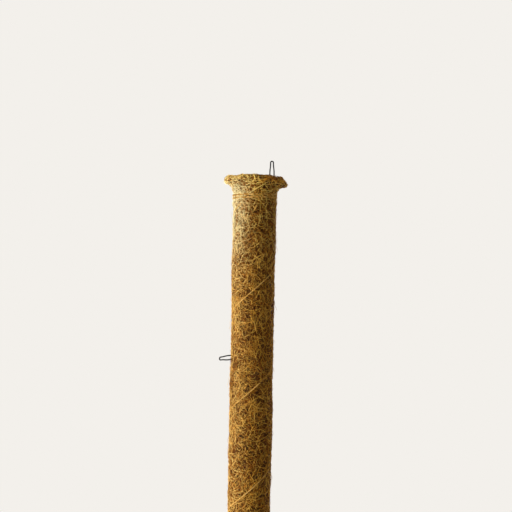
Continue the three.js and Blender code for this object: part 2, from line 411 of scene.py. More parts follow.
# %% Outline of the outer mat
BODY_RADIUS = 21.0 * MM
MAT = 4.1 * MM
FLARE_BEND = 18.0 * MM  # radius of the lip's bend, to the middle of the mat
FLARE_ANGLE = math.radians(62)
FLARE_POINTS, RIM_POINTS = 12, 9
FOOT_CORNER = [(0.8, 0.0), (0.2, 0.3), (0.0, 1.0)]  # mm in from the outside, mm up
INSIDE_SHARE = 0.3  # of an inset, on the mat's inside
FUNNEL_DEPTH = 4.0 * MM  # below the neck

mat_low, mat_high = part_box("coir_outer_wrap")
TOP = mat_high.z
NECK = TOP - 17.6 * MM
bend_centre = BODY_RADIUS - MAT / 2 + FLARE_BEND
rim_radius = bend_centre - FLARE_BEND * math.cos(FLARE_ANGLE)
rim_height = NECK + FLARE_BEND * math.sin(FLARE_ANGLE)


def flared(reach, turns):
    """Points of the flare, at a reach from the centre of its bend."""
    return zip(bend_centre - reach * np.cos(turns), NECK + reach * np.sin(turns))


def mat_outline(inset, fluff=0.0):
    """Points of radius and height round the mat's section, drawn in by an inset, lip fluffed up."""
    inside = BODY_RADIUS - MAT + INSIDE_SHARE * inset
    outside = BODY_RADIUS - inset
    foot = mat_low.z + inset
    turns = np.linspace(0.0, FLARE_ANGLE, FLARE_POINTS)
    thick = MAT / 2 - inset + fluff * (turns / FLARE_ANGLE) ** 2
    swing = np.linspace(-FLARE_ANGLE, math.pi - FLARE_ANGLE, RIM_POINTS)[1:-1]
    line = [(inside, foot)]
    line += [(outside - aside * MM, foot + up * MM) for aside, up in FOOT_CORNER]
    line += flared(FLARE_BEND - thick, turns)
    line += zip(rim_radius + thick[-1] * np.cos(swing), rim_height + thick[-1] * np.sin(swing))
    line += flared(FLARE_BEND + thick[::-1], turns[::-1])
    line.append((inside, NECK - FUNNEL_DEPTH))
    return line


print("lip, mm across:", round(2 * max(radius for radius, _ in mat_outline(0.0)) / MM, 1))

# %% [markdown]
# No rolled mat is a true cylinder. This one is a little dented, swells where a lashing squeezes
# it, and its lip has been pressed down on both sides, most on the right, where the sheet has come
# loose and is thicker. A brush could sculpt that, but only one piece at a time. Tables of sines
# move felt and fibres alike: a few of different lengths, added up, look irregular and still give
# the same dents at every run.

# %% Dents, swellings and droop
DROOP = 2.3  # mm all round
RIGHT_DROOP, LEFT_DROOP = 5.5, 2.0  # mm more
RIGHT_SPREAD, LEFT_SPREAD = 0.6, 0.7  # radians
RIGHT_PLUMP, LEFT_PLUMP = 0.7, 0.5  # share by which the sheet is thicker
DRAWN_RIGHT, DRAWN_IN = 1.0, 0.2  # mm, of the whole lip
WAVES = [(0.30, 5, 1.0), (0.25, 8, 2.3), (0.20, 13, 0.0)]  # mm down, times round, phase
FRAYS = [(0.40, 6, 0.6), (0.30, 11, 0.0)]  # mm out, times round, phase
DENTS = [
    # mm out, times round, mm up the pole for a radian, phase
    (0.28, 2, 29.0, 0.0),
    (0.22, 3, -17.0, 2.0),
    (0.16, 5, 9.0, 0.0),
    (0.12, 7, -6.0, 0.0),
]
neck_low, neck_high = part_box("neck_lashing")
foot_low, foot_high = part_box("foot_lashing")
SWELLS = [
    # height of the middle, mm up and down, mm out
    (neck_low.z - 3.0 * MM, 2.4, 0.8),
    (neck_high.z + 4.5 * MM, 3.0, 1.2),
    (foot_low.z - 3.0 * MM, 2.4, 0.8),
    (foot_high.z + 3.0 * MM, 2.4, 0.8),
]
print("deepest dent, mm:", round(sum(size for size, *_ in DENTS), 2))

# %% [markdown]
# One function moves any point of the ideal mat to where the handled mat lies. Felt and fibres
# both go through it, so they stay together. What befalls the lip grows with the height above the
# neck, and a plump sheet swells away from its own middle.

# %% Settle the points of the mat
OPEN_LIMIT, OPEN_CURVE = 1.3, 1.5  # of how far up the lip a point is


def ripple(table, turn):
    """The sum of a table's sines at an angle round the pole."""
    return sum(size * np.sin(times * turn + phase) for size, times, phase in table)


def settled(points):
    """The place on the handled mat of each point on the ideal one."""
    x, y, z = np.moveaxis(points, -1, 0)
    turn = np.arctan2(y, x)
    opened = np.clip((z - NECK) / (TOP - NECK), 0.0, OPEN_LIMIT) ** OPEN_CURVE
    right = np.exp(-(turn / RIGHT_SPREAD) ** 2)
    left = np.exp(-((np.abs(turn) - math.pi) / LEFT_SPREAD) ** 2)
    inwards = np.clip(bend_centre - np.hypot(x, y), 0.0, FLARE_BEND)
    middle = NECK + np.sqrt(FLARE_BEND ** 2 - inwards ** 2)
    plump = (RIGHT_PLUMP * right + LEFT_PLUMP * left) * (z - middle) / MM
    droop = DROOP + RIGHT_DROOP * right + LEFT_DROOP * left
    down = (droop + ripple(WAVES, turn) - plump) * opened * MM
    reach = DRAWN_RIGHT * np.cos(turn) - DRAWN_IN + ripple(FRAYS, turn)
    out = reach * opened
    for size, times, rise, phase in DENTS:
        out = out + size * np.sin(times * turn + z / (rise * MM) + phase)
    for height, spread, size in SWELLS:
        out = out + size * np.exp(-((z - height) / (spread * MM)) ** 2)
    x = x + out * MM * np.cos(turn)
    y = y + out * MM * np.sin(turn)
    return np.stack([x, y, z - down], axis=-1)


lip_ends = np.array([[29.0, 0.0, 480.0], [-29.0, 0.0, 480.0], [0.0, -29.0, 480.0]]) * MM
print("lip settles to, mm:", (settled(lip_ends) / MM).round(1).tolist())

# %% [markdown]
# Under the loose fibres lies the felt: the dense, dark body of the mat. The outline is spun
# nearly all the way round and capped, so the sheet's two long edges face each other across a
# narrow slit at the back, as on a rolled sheet. The long wall is cut into rows before it is
# sculpted, because a single tall face can't be dented.

# %% Felt of the outer mat
FELT_DEPTH = 0.55 * MM
FELT_FLUFF = 0.4 * MM
FELT_ROUGH = 0.16 * MM
TALL = 100.0 * MM
SEAM = math.radians(90)
SLIT = 0.7 * MM / BODY_RADIUS


def rolled_felt(outline, rows, seam):
    """A felt sheet rolled round the axis, with its seam at an angle, settled and roughened."""
    shape = spun(outline, ROUND, SLIT, seam + SLIT / 2)
    tall = [edge for edge in shape.edges if edge.calc_length() > TALL]
    bmesh.ops.subdivide_edges(shape, edges=tall, cuts=rows, use_grid_fill=True)
    rough = np.random.default_rng(11).normal(0.0, FELT_ROUGH, len(shape.verts))
    shape.normal_update()
    spots = np.array([vert.co + vert.normal * step for vert, step in zip(shape.verts, rough)])
    for vert, spot in zip(shape.verts, settled(spots)):
        vert.co = spot
    return shape


outer_felt = rolled_felt(mat_outline(FELT_DEPTH, FELT_FLUFF), rows=170, seam=SEAM)
print("felt:", len(outer_felt.verts), "points")

# %% [markdown]
# The felt's finish only shows between the fibres, so it is dark: short brown hairs lie tangled
# over dust. Its browns are darker than the fibres', partly as the mat's browner body and partly
# as painted shade of the gaps between the fibres. Noise that is stretched along one direction of
# space gives hairs that run that way, and a few such directions laid over each other look like
# matted hair. The same pattern gives the bump.

# %% Felt finish
HAIR = (0.5 * MM, 0.5 * MM, 7.0 * MM)
TILTS = [(0.3, 0.2, 0.0), (1.5, 0.4, 0.3), (0.9, -0.8, 0.0), (-0.9, 0.7, 0.5), (0.2, 1.4, 0.1)]

felt, place = new_finish("coir_felt")
patches = felt.noise(place, 60.0, 3.0)
dust = felt.noise(place, 1600.0, 2.0)


def hairs_along(tilt):
    """Thin lines, half a millimetre apart and some millimetres long, along a tilted axis."""
    sockets = {"Vector": place, "Rotation": tilt, "Scale": HAIR}
    grid = felt.node("Mapping", {"vector_type": "TEXTURE"}, sockets)
    return felt.noise(grid, 1.0, 2.0, 0.5).between(0.52, 0.66)


matted = dust * 0.25
for tilt in TILTS:
    matted = matted.math("MAXIMUM", matted, hairs_along(tilt) * (0.55 + patches * 0.5))
# Painted shade: browns darker than the fibres', for the gaps between them.
browns = [(0.05, "190D04"), (0.35, "3B220B"), (0.60, "6A4519"), (0.85, "946A2E")]
felt_finish = felt.finish({
    "Base Color": felt.ramp(matted, *browns),
    "Specular IOR Level": 0.1,
    "Roughness": 0.75 + dust * 0.2,
    "Normal": felt.bump(matted, 0.9, 0.6 * MM),
})
piece("outer_mat_felt", mesh_of(outer_felt), "pole", "coir", felt_finish, "coir_outer_wrap")

# %% [markdown]
# The inner sheet pads the space between pipe and outer sheet. Only its two cut ends can be seen,
# at the foot and inside the lip. It is rolled the same way, a little short of its solid so that
# fibres can cover its ends, with its seam at the front so that the two seams don't meet.

# %% Felt of the inner mat
END_ROOM = 0.4 * MM

inner_low, inner_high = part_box("coir_inner_wrap")
inner_radius = inner_high.x - 0.1 * MM
inner_bore = pipe_radius + 0.4 * MM
inner_section = sleeve(inner_bore, inner_radius, inner_low.z + END_ROOM, inner_high.z - END_ROOM)
inner_felt = rolled_felt(inner_section, rows=60, seam=-SEAM)
piece("inner_mat_felt", mesh_of(inner_felt), "pole", "coir", felt_finish, "coir_inner_wrap")

# %% [markdown]
# The fibres are what makes coir look like coir: thousands of curled strands in every direction.
# Particle hair would be quick, but it doesn't survive an export as a mesh. Each fibre is instead
# a curve that wanders over the mat's outline. A skin is that outline with its length, so that a
# fibre can be steered by how far it is up the outline and how far round.

# %% A skin for fibres
SKIN_STEP = 0.4 * MM
LIP_FLUFF = 0.6 * MM


class Skin:
    """An outline of radius and height, turned round the axis, that fibres lie on."""

    def __init__(self, outline):
        corners = np.array(outline)
        marks = np.r_[0.0, np.cumsum(np.hypot(*np.diff(corners, axis=0).T))]
        self.run = np.linspace(0.0, marks[-1], 1 + int(marks[-1] / SKIN_STEP))
        self.radius = np.interp(self.run, marks, corners[:, 0])
        self.height = np.interp(self.run, marks, corners[:, 1])
        along = np.stack([np.gradient(self.radius), np.gradient(self.height)])
        self.facing = along[::-1] / np.hypot(*along) * [[1.0], [-1.0]]

    def spots(self, run, turn, lift):
        """Points on the settled mat, from run, turn and lift off the skin."""
        radius = np.interp(run, self.run, self.radius)
        height = np.interp(run, self.run, self.height)
        radius = radius + lift * np.interp(run, self.run, self.facing[0])
        height = height + lift * np.interp(run, self.run, self.facing[1])
        return settled(np.stack([radius * np.cos(turn), radius * np.sin(turn), height], axis=-1))


mat_skin = Skin(mat_outline(0.0, LIP_FLUFF))
print("skin, mm from foot to funnel:", round(mat_skin.run[-1] / MM, 1))

# %% [markdown]
# A fibre starts at a random place and heading. From point to point it keeps most of its bend and
# gains a little, as a curled hair does. It dips under others and comes up again, and both ends go
# down into the mat. At the seam a fibre turns back, unless it is meant to bridge it. All fibres
# of a set are worked out together, because that is much faster than one by one.

# %% Fibres that wander
POINTS = 10  # of a fibre
MEMORY, NEW_BEND = 0.72, 0.7  # shares of its bend and of its curl, from point to point
WEAVE = 8.0 * MM  # length in which a fibre dips under others and comes up again
DIP = 0.4  # mm
TUCK, TUCK_CURVE = 0.6, 6  # mm that the ends go down, and how suddenly
UNDERSIDE_LOSS = 0.7  # share of fibres that a face looking down lacks
SEAM_EDGE = 0.45 * MM / BODY_RADIUS
BRIDGE = 0.25  # radians beside the seam where bridging fibres start
PHASES = 6.3  # radians


def starts(skin, chance, count, span, bridge):
    """Where fibres start: a run within a span of the whole, and a turn from the seam."""
    low, high = span[0] * skin.run[-1], span[1] * skin.run[-1]
    inside = (skin.run >= low) & (skin.run <= high)
    downwards = np.clip(-skin.facing[1][inside], 0.0, 1.0)
    weight = skin.radius[inside] * (1.0 - UNDERSIDE_LOSS * downwards)
    run = chance.choice(skin.run[inside], count, p=weight / weight.sum())
    ends = (-BRIDGE, BRIDGE) if bridge else (SEAM_EDGE, 2 * math.pi - SEAM_EDGE)
    return run, chance.uniform(*ends, count)


def fibres(skin, chance, count, length, curl, lift, span=(0.0, 1.0), slope=180.0, bridge=False):
    """Centre lines of curled fibres, within a slope of level, as fibre, point and X, Y, Z."""
    run, turn = starts(skin, chance, count, span, bridge)
    heading = math.pi / 2 + np.radians(chance.uniform(-slope, slope, count))
    step = chance.uniform(*length, count) * MM / (POINTS - 1)
    bend = chance.normal(0.0, curl, count) / MM
    runs, turns = [], []
    for _ in range(POINTS):
        runs.append(run)
        turns.append(turn)
        radius = np.interp(run, skin.run, skin.radius)
        run = np.clip(run + step * np.cos(heading), 0.0, skin.run[-1])
        turn = turn + step * np.sin(heading) / radius
        bend = MEMORY * bend + chance.normal(0.0, NEW_BEND * curl, count) / MM
        heading = heading + bend * step
        kept = turn if bridge else np.clip(turn, SEAM_EDGE, 2 * math.pi - SEAM_EDGE)
        heading = np.where(turn == kept, heading, -heading)
        turn = 2 * kept - turn
    along = np.linspace(-1.0, 1.0, POINTS)
    base = chance.uniform(*lift, (count, 1))
    wave = (math.pi * (POINTS - 1) * step / WEAVE)[:, None]
    dip = DIP * np.sin(wave * along + chance.uniform(0.0, PHASES, (count, 1)))
    lifts = (base + dip - TUCK * along ** TUCK_CURVE) * MM
    return skin.spots(np.stack(runs, axis=1), SEAM + np.stack(turns, axis=1), lifts)


print("points of a fibre:", POINTS)

# %% [markdown]
# Two hairpins are pushed into the mat, one from above beside the rim of the lip and one from the
# left. Their solids say where the crowns are, and the joints say which way each pin is pulled and
# how far. The sizes are those of a pin bent from stock wire.

# %% Where the pins sit
SPREAD = 4.2 * MM  # between a pin's legs
SHOULDER = 13.0 * MM  # from the crown to where the legs run parallel
PIN_LENGTH = 36.0 * MM
SIDE_SHOW = 3.0 * MM  # of the side pin's parallel legs
UP = Vector((0.0, 0.0, 1.0))
RIGHT = Vector((1.0, 0.0, 0.0))

top_low, top_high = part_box("vine_pin_top")
side_low, side_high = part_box("vine_pin_left")
joints = {joint["child"]: joint for joint in frame["joints"]}
side_out = Vector(joints["left_pin"]["axis"]).normalized()
top_crown = Vector(((top_low.x + top_high.x) / 2, 0.0, top_high.z))
side_level = (side_low.z + side_high.z) / 2
side_crown = Vector((-BODY_RADIUS, 0.0, side_level)) + side_out * (SHOULDER + SIDE_SHOW)
print("crowns at heights, mm:", round(top_crown.z / MM, 1), round(side_crown.z / MM, 1))

# %% [markdown]
# Fibres give way to what is pushed through the mat. Holes cut into the finished coat would leave
# clean-cut ends, so the fibres in the way are left out instead. The legs of a pin lie on two
# straight lines, from the tips to where the crown comes when the pin is pulled. Points between a
# fibre's own are tested too, so that none slips past.

# %% Room for the pins
PIN_ROOM = 1.0 * MM  # from the middle of a leg
FINER = 4  # points tested for one of a fibre


def leg_ways(crown, out, across, pull):
    """The lines that the two legs of a pin lie on, from the pulled crown to the tips."""
    shift = across * (SPREAD / 2)
    ends = (crown + out * pull, crown - out * PIN_LENGTH)
    return [[np.array(end + shift * side) for end in ends] for side in (-1, 1)]


ways = leg_ways(top_crown, UP, RIGHT, joints["top_pin"]["range_m"][1])
ways += leg_ways(side_crown, side_out, UP, joints["left_pin"]["range_m"][1])


def clear_of_pins(lines):
    """Which fibres keep off the ways of the pins' legs."""
    finer = np.linspace(0, lines.shape[1] - 1, FINER * lines.shape[1])
    whole = finer.astype(int).clip(max=lines.shape[1] - 2)
    share = (finer - whole)[:, None]
    dense = lines[:, whole] * (1 - share) + lines[:, whole + 1] * share
    keep = np.ones(len(lines), bool)
    for start, end in ways:
        way = end - start
        along = np.clip((dense - start) @ way / (way @ way), 0.0, 1.0)
        gap = np.linalg.norm(dense - start - along[..., None] * way, axis=-1)
        keep &= gap.min(axis=1) > PIN_ROOM
    return keep


print("legs kept clear:", len(ways))

# %% [markdown]
# A round section swept along a curve makes a strand. The section's radius is one metre, so that
# each point's own radius is the strand's real one. A fibre has a section of three sides, which is
# enough for something a quarter of a millimetre thick. Each strand gets its own small rectangle
# of a UV map, so that a bake can keep every strand apart.

# %% Section and map of a strand
FIBRE_SIDES = 3
MAP_MARGIN = 0.06  # of a strand's rectangle


def section_ring(sides):
    """The closed outline that is swept along the strands."""
    ring = bpy.data.curves.new("section", "CURVE")
    edge = ring.splines.new("POLY")
    edge.points.add(sides - 1)
    edge.use_cyclic_u = True
    for point, turn in zip(edge.points, np.linspace(0.0, 2 * math.pi, sides, endpoint=False)):
        point.co = (math.cos(turn), math.sin(turn), 0.0, 1.0)
    return bpy.data.objects.new("section", ring)


def add_bake_map(mesh, owner, count):
    """Gives every strand its own rectangle of a map, from the strand's own run and round."""
    corners = np.empty(len(mesh.loops), np.int32)
    mesh.loops.foreach_get("vertex_index", corners)
    flat = np.empty(2 * len(mesh.loops), np.float32)
    mesh.uv_layers[0].data.foreach_get("uv", flat)
    cells = math.ceil(math.sqrt(count))
    which = owner[corners]
    corner = np.stack([which % cells, which // cells], axis=1)
    spread = (corner + MAP_MARGIN + (1 - 2 * MAP_MARGIN) * flat.reshape(-1, 2)) / cells
    own = mesh.uv_layers.new(name="OFBake")
    own.data.foreach_set("uv", spread.astype(np.float32).ravel())


print("sides of a fibre:", FIBRE_SIDES)

# %% [markdown]
# The sweep goes through a curve object, which Blender turns into a mesh, because extruding a ring
# for each of thousands of strands would take far longer. A strand's radius falls to nothing at
# both ends, which closes the strand when the end rings are merged. Each strand also carries a
# tone, which its finish turns into a colour. One straight strand shows what a fibre costs.

# %% Sweep strands along curves
TIP_TAPER = 0.8  # of the thickness, next to a tip


def swept(lines, thickness, tones, sides, blunt=False):
    """One mesh of closed strands along centre lines, with a tone and a bake map for each."""
    section = section_ring(sides)
    curve = bpy.data.curves.new("strands", "CURVE")
    curve.dimensions = "3D"
    curve.bevel_mode = "OBJECT"
    curve.bevel_object = section
    for line, thick in zip(lines, thickness):
        spline = curve.splines.new("POLY")
        spline.points.add(len(line) - 1)
        spline.points.foreach_set("co", np.c_[line, np.ones(len(line))].ravel())
        taper = np.ones(len(line))
        taper[[0, -1]] = 0.0
        if not blunt:
            taper[[1, -2]] = TIP_TAPER
        spline.points.foreach_set("radius", taper * thick / 2)
    holder = bpy.data.objects.new("strands", curve)
    scene.collection.objects.link(holder)
    view = bpy.context.evaluated_depsgraph_get()
    mesh = bpy.data.meshes.new_from_object(holder.evaluated_get(view))
    bpy.data.objects.remove(holder)
    bpy.data.objects.remove(section)
    owner = np.repeat(np.arange(len(lines)), [len(line) * sides for line in lines])
    tone = mesh.attributes.new("tone", "FLOAT", "POINT")
    tone.data.foreach_set("value", np.asarray(tones, np.float32)[owner])
    add_bake_map(mesh, owner, len(lines))
    shape = bmesh.new()
    shape.from_mesh(mesh)
    bmesh.ops.remove_doubles(shape, verts=shape.verts, dist=SAME_SPOT)
    bmesh.ops.recalc_face_normals(shape, faces=shape.faces)
    shape.to_mesh(mesh)
    shape.free()
    mesh.shade_smooth()
    return mesh


straight = swept([np.linspace((0, 0, 0), (0, 0, 10 * MM), POINTS)], [MM], [0.5], FIBRE_SIDES)
print("triangles of a fibre:", len(straight.loops) - 2 * len(straight.polygons))
bpy.data.meshes.remove(straight)

# %% [markdown]
# Coir runs from straw to dark brown. A picture of it would smear on strands this thin, so numbers
# give the colour. The tone of a strand picks it, and slow noise makes paler and browner patches
# of mat. Painted light makes the side towards the lamp paler and mixes it towards straw, most at
# the upper end and little on the lip. On the lip, painted light spreads the tones wider on the
# left and painted shade darkens the right. Lower down, painted shade makes the mat darker and its
# pale strands more golden. Fine noise gives a strand the scaly skin of husk fibre.

# %% Fibre finish
# Painted shade on the lower part of the mat fades out between these heights.
SHADE_FADE_HEIGHTS = (0.36, 0.46)  # heights
LIP_END = (0.464, 0.478)
# Painted light on the side towards the lamp fades out between these places, from left to right.
LAMP_SIDE_FADE = (-21.0 * MM, 4.0 * MM)  # from left to right
# Painted light on the lip's left turns to painted shade on its right across these places.
LIP_LIGHT_FADE = (-5.0 * MM, 13.0 * MM)
LIT_STRAW = dye("F3E7B4")
# Painted shade lower down mixes the pale strands towards this gold.
SHADED_GOLD = dye("E2A437")

coir, place = new_finish("coir_fibre")
height = coir.node("SeparateXYZ", {}, {0: place}, "Z")
side = coir.node("SeparateXYZ", {}, {0: place}, "X")
tone = coir.node("Attribute", {"attribute_name": "tone"}, {}, "Fac")
patches = coir.noise(place, 42.0, 3.0)
scales = coir.noise(place, 700.0, 3.0)
# Nought low down and one at the upper end: below it the mat gets painted shade.
above_painted_shade = height.between(*SHADE_FADE_HEIGHTS)
lip = height.between(*LIP_END)
# Painted light on the side towards the lamp: paler and mixed towards straw, most at the upper end,
# little on the lip.
lamp_side_light = (above_painted_shade * 0.90 + 0.20 - lip * 0.88) * (1.0 - side.between(*LAMP_SIDE_FADE))
# Painted light and shade on the lip: lighter with wider tones on the left, darker on the right.
lip_light_and_shade = lip * (1.0 - side.between(*LIP_LIGHT_FADE) * 1.5)
# Painted light and shade, with slow noise for the mat's own paler and browner patches.
light_shade_and_patches = lamp_side_light * 0.27 + above_painted_shade * 0.03 + lip_light_and_shade * 0.11 + (patches - 0.5) * 0.30
shade = tone * (0.9 + lip_light_and_shade * 0.5) + light_shade_and_patches + (scales - 0.5) * 0.2 + 0.08
browns = [(0.05, "2E1303"), (0.25, "6E3909"), (0.46, "A86613"), (0.68, "D4992E"), (0.95, "F2CD68")]
husk = coir.ramp(shade, *browns)
# Painted shade lower down: pale strands mixed towards gold.
husk = coir.mixed((1.0 - above_painted_shade) * shade.between(0.45, 0.95) * 0.6, husk, SHADED_GOLD)
coir_finish = coir.finish({
    # Painted light: mixed towards straw on the side towards the lamp.
    "Base Color": coir.mixed(lamp_side_light * shade.between(0.3, 1.0) * 0.85, husk, LIT_STRAW),
    "Specular IOR Level": 0.12,
    "Roughness": 0.40 + scales * 0.3,
    "Normal": coir.bump(scales, 0.35, 0.12 * MM),
})

# %% [markdown]
# One even layer of fibres would look like cloth. The coat goes on in several, as the mat itself
# is built: thick dark strands deep down, then brown and pale ones, then long fine ones that lie
# loose on top. The deeper layers' darker tones are partly the husk's own and partly painted shade
# within the coat. Dark gaps between pale strands are what the eye reads as coir, so every layer
# also has its share of dark strands, which are dark husk fibres and also paint shade into the gaps.

# %% Layers of the coat
DARK_SHARE = 0.28
DARK_TONE = 0.3  # of the tone it would have
# Painted shade: the tones rise from the deep layers to the loose ones.
LAYERS = [
    # name, paths, strands on each, length mm, thickness mm, lift mm, tone, curl
    ("deep", 2400, 1, (14, 36), (0.40, 0.75), (-0.95, -0.55), (0.00, 0.35), 0.15),
    ("low", 2400, 1, (9, 22), (0.36, 0.56), (-0.70, -0.25), (0.10, 0.55), 0.28),
    ("brown", 2050, 2, (8, 18), (0.24, 0.36), (-0.60, -0.15), (0.15, 0.70), 0.20),
    ("fine", 2050, 2, (6, 14), (0.18, 0.26), (-0.50, 0.00), (0.25, 0.95), 0.22),
    ("middle", 4050, 1, (6, 15), (0.26, 0.38), (-0.40, 0.10), (0.35, 1.05), 0.20),
    ("high", 4050, 1, (6, 15), (0.24, 0.36), (-0.30, 0.25), (0.40, 1.15), 0.18),
    ("upper", 4050, 1, (7, 17), (0.22, 0.34), (-0.15, 0.45), (0.40, 1.15), 0.14),
    ("loose", 2050, 2, (8, 20), (0.18, 0.28), (0.00, 0.65), (0.50, 1.20), 0.11),
]
print("strands of the coat:", sum(paths * strands for _, paths, strands, *_ in LAYERS))

# %% [markdown]
# Husk splits into bundles of fibres that run side by side, so some layers have two strands on
# each path. The two have nearly the same tone and drift a little apart. Each layer is a piece of
# its own, so that none gets too heavy, and has its own seed, so that a change to one leaves the
# others as they are.

# %% Lay the coat
PAIR_WIDTH = 0.11 * MM  # from a path to its strands
PAIR_SHIFT, PAIR_SPLAY = 0.25, 0.5  # how unevenly, in widths
TONE_DRIFT = 0.07  # within a pair


def unit(vectors):
    """Vectors of the same directions, of length one."""
    return vectors / np.linalg.norm(vectors, axis=-1, keepdims=True)


def bundled(lines, chance, strands):
    """Each centre line as several strands that run side by side and drift a little apart."""
    side = unit(np.cross(np.gradient(lines, axis=1), lines * [1.0, 1.0, 0.0]))
    along = np.linspace(-1.0, 1.0, POINTS)[:, None]
    count = (len(lines), 1, 1)
    made = []
    for place in np.linspace(-1.0, 1.0, strands):
        drift = place + chance.normal(0.0, PAIR_SHIFT, count)
        drift = drift + chance.normal(0.0, PAIR_SPLAY, count) * along
        made.append(lines + side * drift * PAIR_WIDTH)
    return np.concatenate(made)


for number, (name, count, strands, length, thickness, lift, tones, curl) in enumerate(LAYERS):
    chance = np.random.default_rng(100 + number)
    lines = fibres(mat_skin, chance, count, length, curl, lift)
    shades = chance.uniform(*tones, count)
    shades = np.where(chance.random(count) < DARK_SHARE, DARK_TONE * shades, shades)
    shades = np.tile(shades, strands) + chance.normal(0.0, TONE_DRIFT, count * strands)
    if strands > 1:
        lines = bundled(lines, chance, strands)
    keep = clear_of_pins(lines)
    thick = chance.uniform(*thickness, keep.sum()) * MM
    coat = swept(lines[keep], thick, shades[keep], FIBRE_SIDES)
    piece("outer_mat_fibres_" + name, coat, "pole", "coir", coir_finish)


# %% [markdown]
# The cut ends of the inner sheet show fibres too. Each end is a flat ring, which makes a short
# skin of its own. The small function below lays a set of single fibres, clear of the pins, and
# the later sets use it as well.

# %% Ends of the inner mat
END_FIBRES = 330


def laid(name, chance, lines, thickness, tones, slot="coir"):
    """Single fibres of random thickness and tone, as a piece on the pole."""
    lines = lines[clear_of_pins(lines)]
    thick = chance.uniform(*thickness, len(lines)) * MM
    coat = swept(lines, thick, chance.uniform(*tones, len(lines)), FIBRE_SIDES)
    piece(name, coat, "pole", slot, coir_finish)


chance = np.random.default_rng(210)
upper_end = Skin([(inner_radius, inner_high.z), (inner_bore, inner_high.z)])
lower_end = Skin([(inner_bore, inner_low.z), (inner_radius, inner_low.z)])
ends = [
    fibres(skin, chance, END_FIBRES, length=(6, 16), curl=0.22, lift=(-0.4, 0.3))
    for skin in (upper_end, lower_end)
]
laid("inner_mat_fibres", chance, np.concatenate(ends), (0.35, 0.6), (0.15, 0.85))

# %% [markdown]
# The body and the lip shed some single hairs. A hair starts in the mat and lifts away from it,
# slowly at first. Fibres laid flat already have the right curl, so they are taken as they are and
# only lifted, the more the nearer to their far end.

# %% Stray hairs
HAIR_RISE = 0.35  # upwards, for one outwards
HAIR_CURVE = 1.7  # how late a hair lifts off


def stray(count, length, rise, span):
    """Hairs that leave the mat: wandering fibres whose far end is lifted off the skin."""
    flat = fibres(mat_skin, chance, count, length, curl=0.10, lift=(0.0, 0.4), span=span)
    away = unit(flat * [1.0, 1.0, 0.0])
    away[..., 2] = HAIR_RISE * chance.uniform(-0.5, 1.0, (count, 1))
    grow = np.linspace(0.0, 1.0, POINTS)[:, None] ** HAIR_CURVE
    return flat + away * grow * (chance.uniform(*rise, (count, 1, 1)) * MM)


hairs = [
    stray(260, length=(8, 22), rise=(0.5, 3.2), span=(0.0, 0.88)),
    stray(150, length=(7, 18), rise=(0.6, 3.4), span=(0.90, 0.99)),
]
laid("stray_hairs", chance, np.concatenate(hairs), (0.16, 0.3), (0.5, 1.0))

# %% [markdown]
# Along the back the sheet's two long edges meet. Closing the slit would be simpler, but on a
# rolled sheet it shows here and there. The edges were pressed together when the mat was rolled,
# so fibres of both reach across and hide most of it.

# %% Fibres across the seam
chance = np.random.default_rng(220)
along_back = fibres(
    mat_skin, chance, 600, length=(7, 18), curl=0.16, lift=(-0.5, 0.3),
    span=(0.0, 0.92), slope=70.0, bridge=True,
)
over_lip = fibres(
    mat_skin, chance, 260, length=(6, 13), curl=0.16, lift=(-0.9, 0.4),
    span=(0.90, 1.0), slope=60.0, bridge=True,
)
laid("seam_fibres", chance, np.concatenate([along_back, over_lip]), (0.28, 0.46), (0.2, 1.0))

# %% [markdown]
# Where the lashing draws the mat in, it has dragged some fibres level round the neck, and many
# more lie aslant over the flare, pale ones and a few dark ones. At the front, two long pale ones
# span the hollow of the neck from the lashing to the lip and two lie level. Chance would seldom
# put them there, so these four are laid from angle and height. Their ends are in the mat and
# their middle hangs free.

# %% Strands dragged round the neck
SPAN_THICKNESS = 0.6 * MM
SPAN_TONES = [1.1, 1.0, 1.0, 0.9]
SPAN_TUCK, SPAN_CURVE = 0.3, 4  # mm that the ends go down, and how suddenly
LIP_DARK_SHARE = 0.28
LIP_DARK_TONE = 0.08

chance = np.random.default_rng(230)
dragged = fibres(
    mat_skin, chance, 60, length=(14, 34), curl=0.05, lift=(0.0, 0.7), span=(0.885, 0.925), slope=14.0,
)
aslant = fibres(
    mat_skin, chance, 380, length=(7, 18), curl=0.09, lift=(0.2, 0.9), span=(0.903, 0.952), slope=80.0,
)


def spanning(first, last, lift):
    """A strand laid from one angle and height to another, on the outside of the mat."""
    rising = slice(0, np.argmax(mat_skin.radius))
    turns = np.radians(np.linspace(first[0], last[0], POINTS))
    heights = np.linspace(first[1], last[1], POINTS) * MM
    runs = np.interp(heights, mat_skin.height[rising], mat_skin.run[rising])
    ends = np.linspace(-1.0, 1.0, POINTS) ** SPAN_CURVE
    return mat_skin.spots(runs, turns, (lift - (lift + SPAN_TUCK) * ends) * MM)


spans = [
    spanning((-110.0, 459.6), (-60.0, 474.0), 1.2),
    spanning((-107.0, 459.4), (-64.0, 472.2), 1.0),
    spanning((-76.0, 463.4), (-36.0, 464.9), 0.9),
    spanning((-70.0, 461.9), (-38.0, 463.0), 0.9),
]
lines = np.concatenate([dragged, aslant, spans])
dark = chance.random(len(aslant)) < LIP_DARK_SHARE
on_lip = np.where(dark, LIP_DARK_TONE, chance.uniform(0.55, 1.1, len(aslant)))
shades = np.r_[chance.uniform(0.15, 1.15, len(dragged)), on_lip, SPAN_TONES]
keep = clear_of_pins(lines)
thick = chance.uniform(0.34, 0.58, keep.sum()) * MM
thick[-len(spans):] = SPAN_THICKNESS
strands = swept(lines[keep], thick, shades[keep], FIBRE_SIDES)
piece("neck_strands", strands, "pole", "coir", coir_finish)

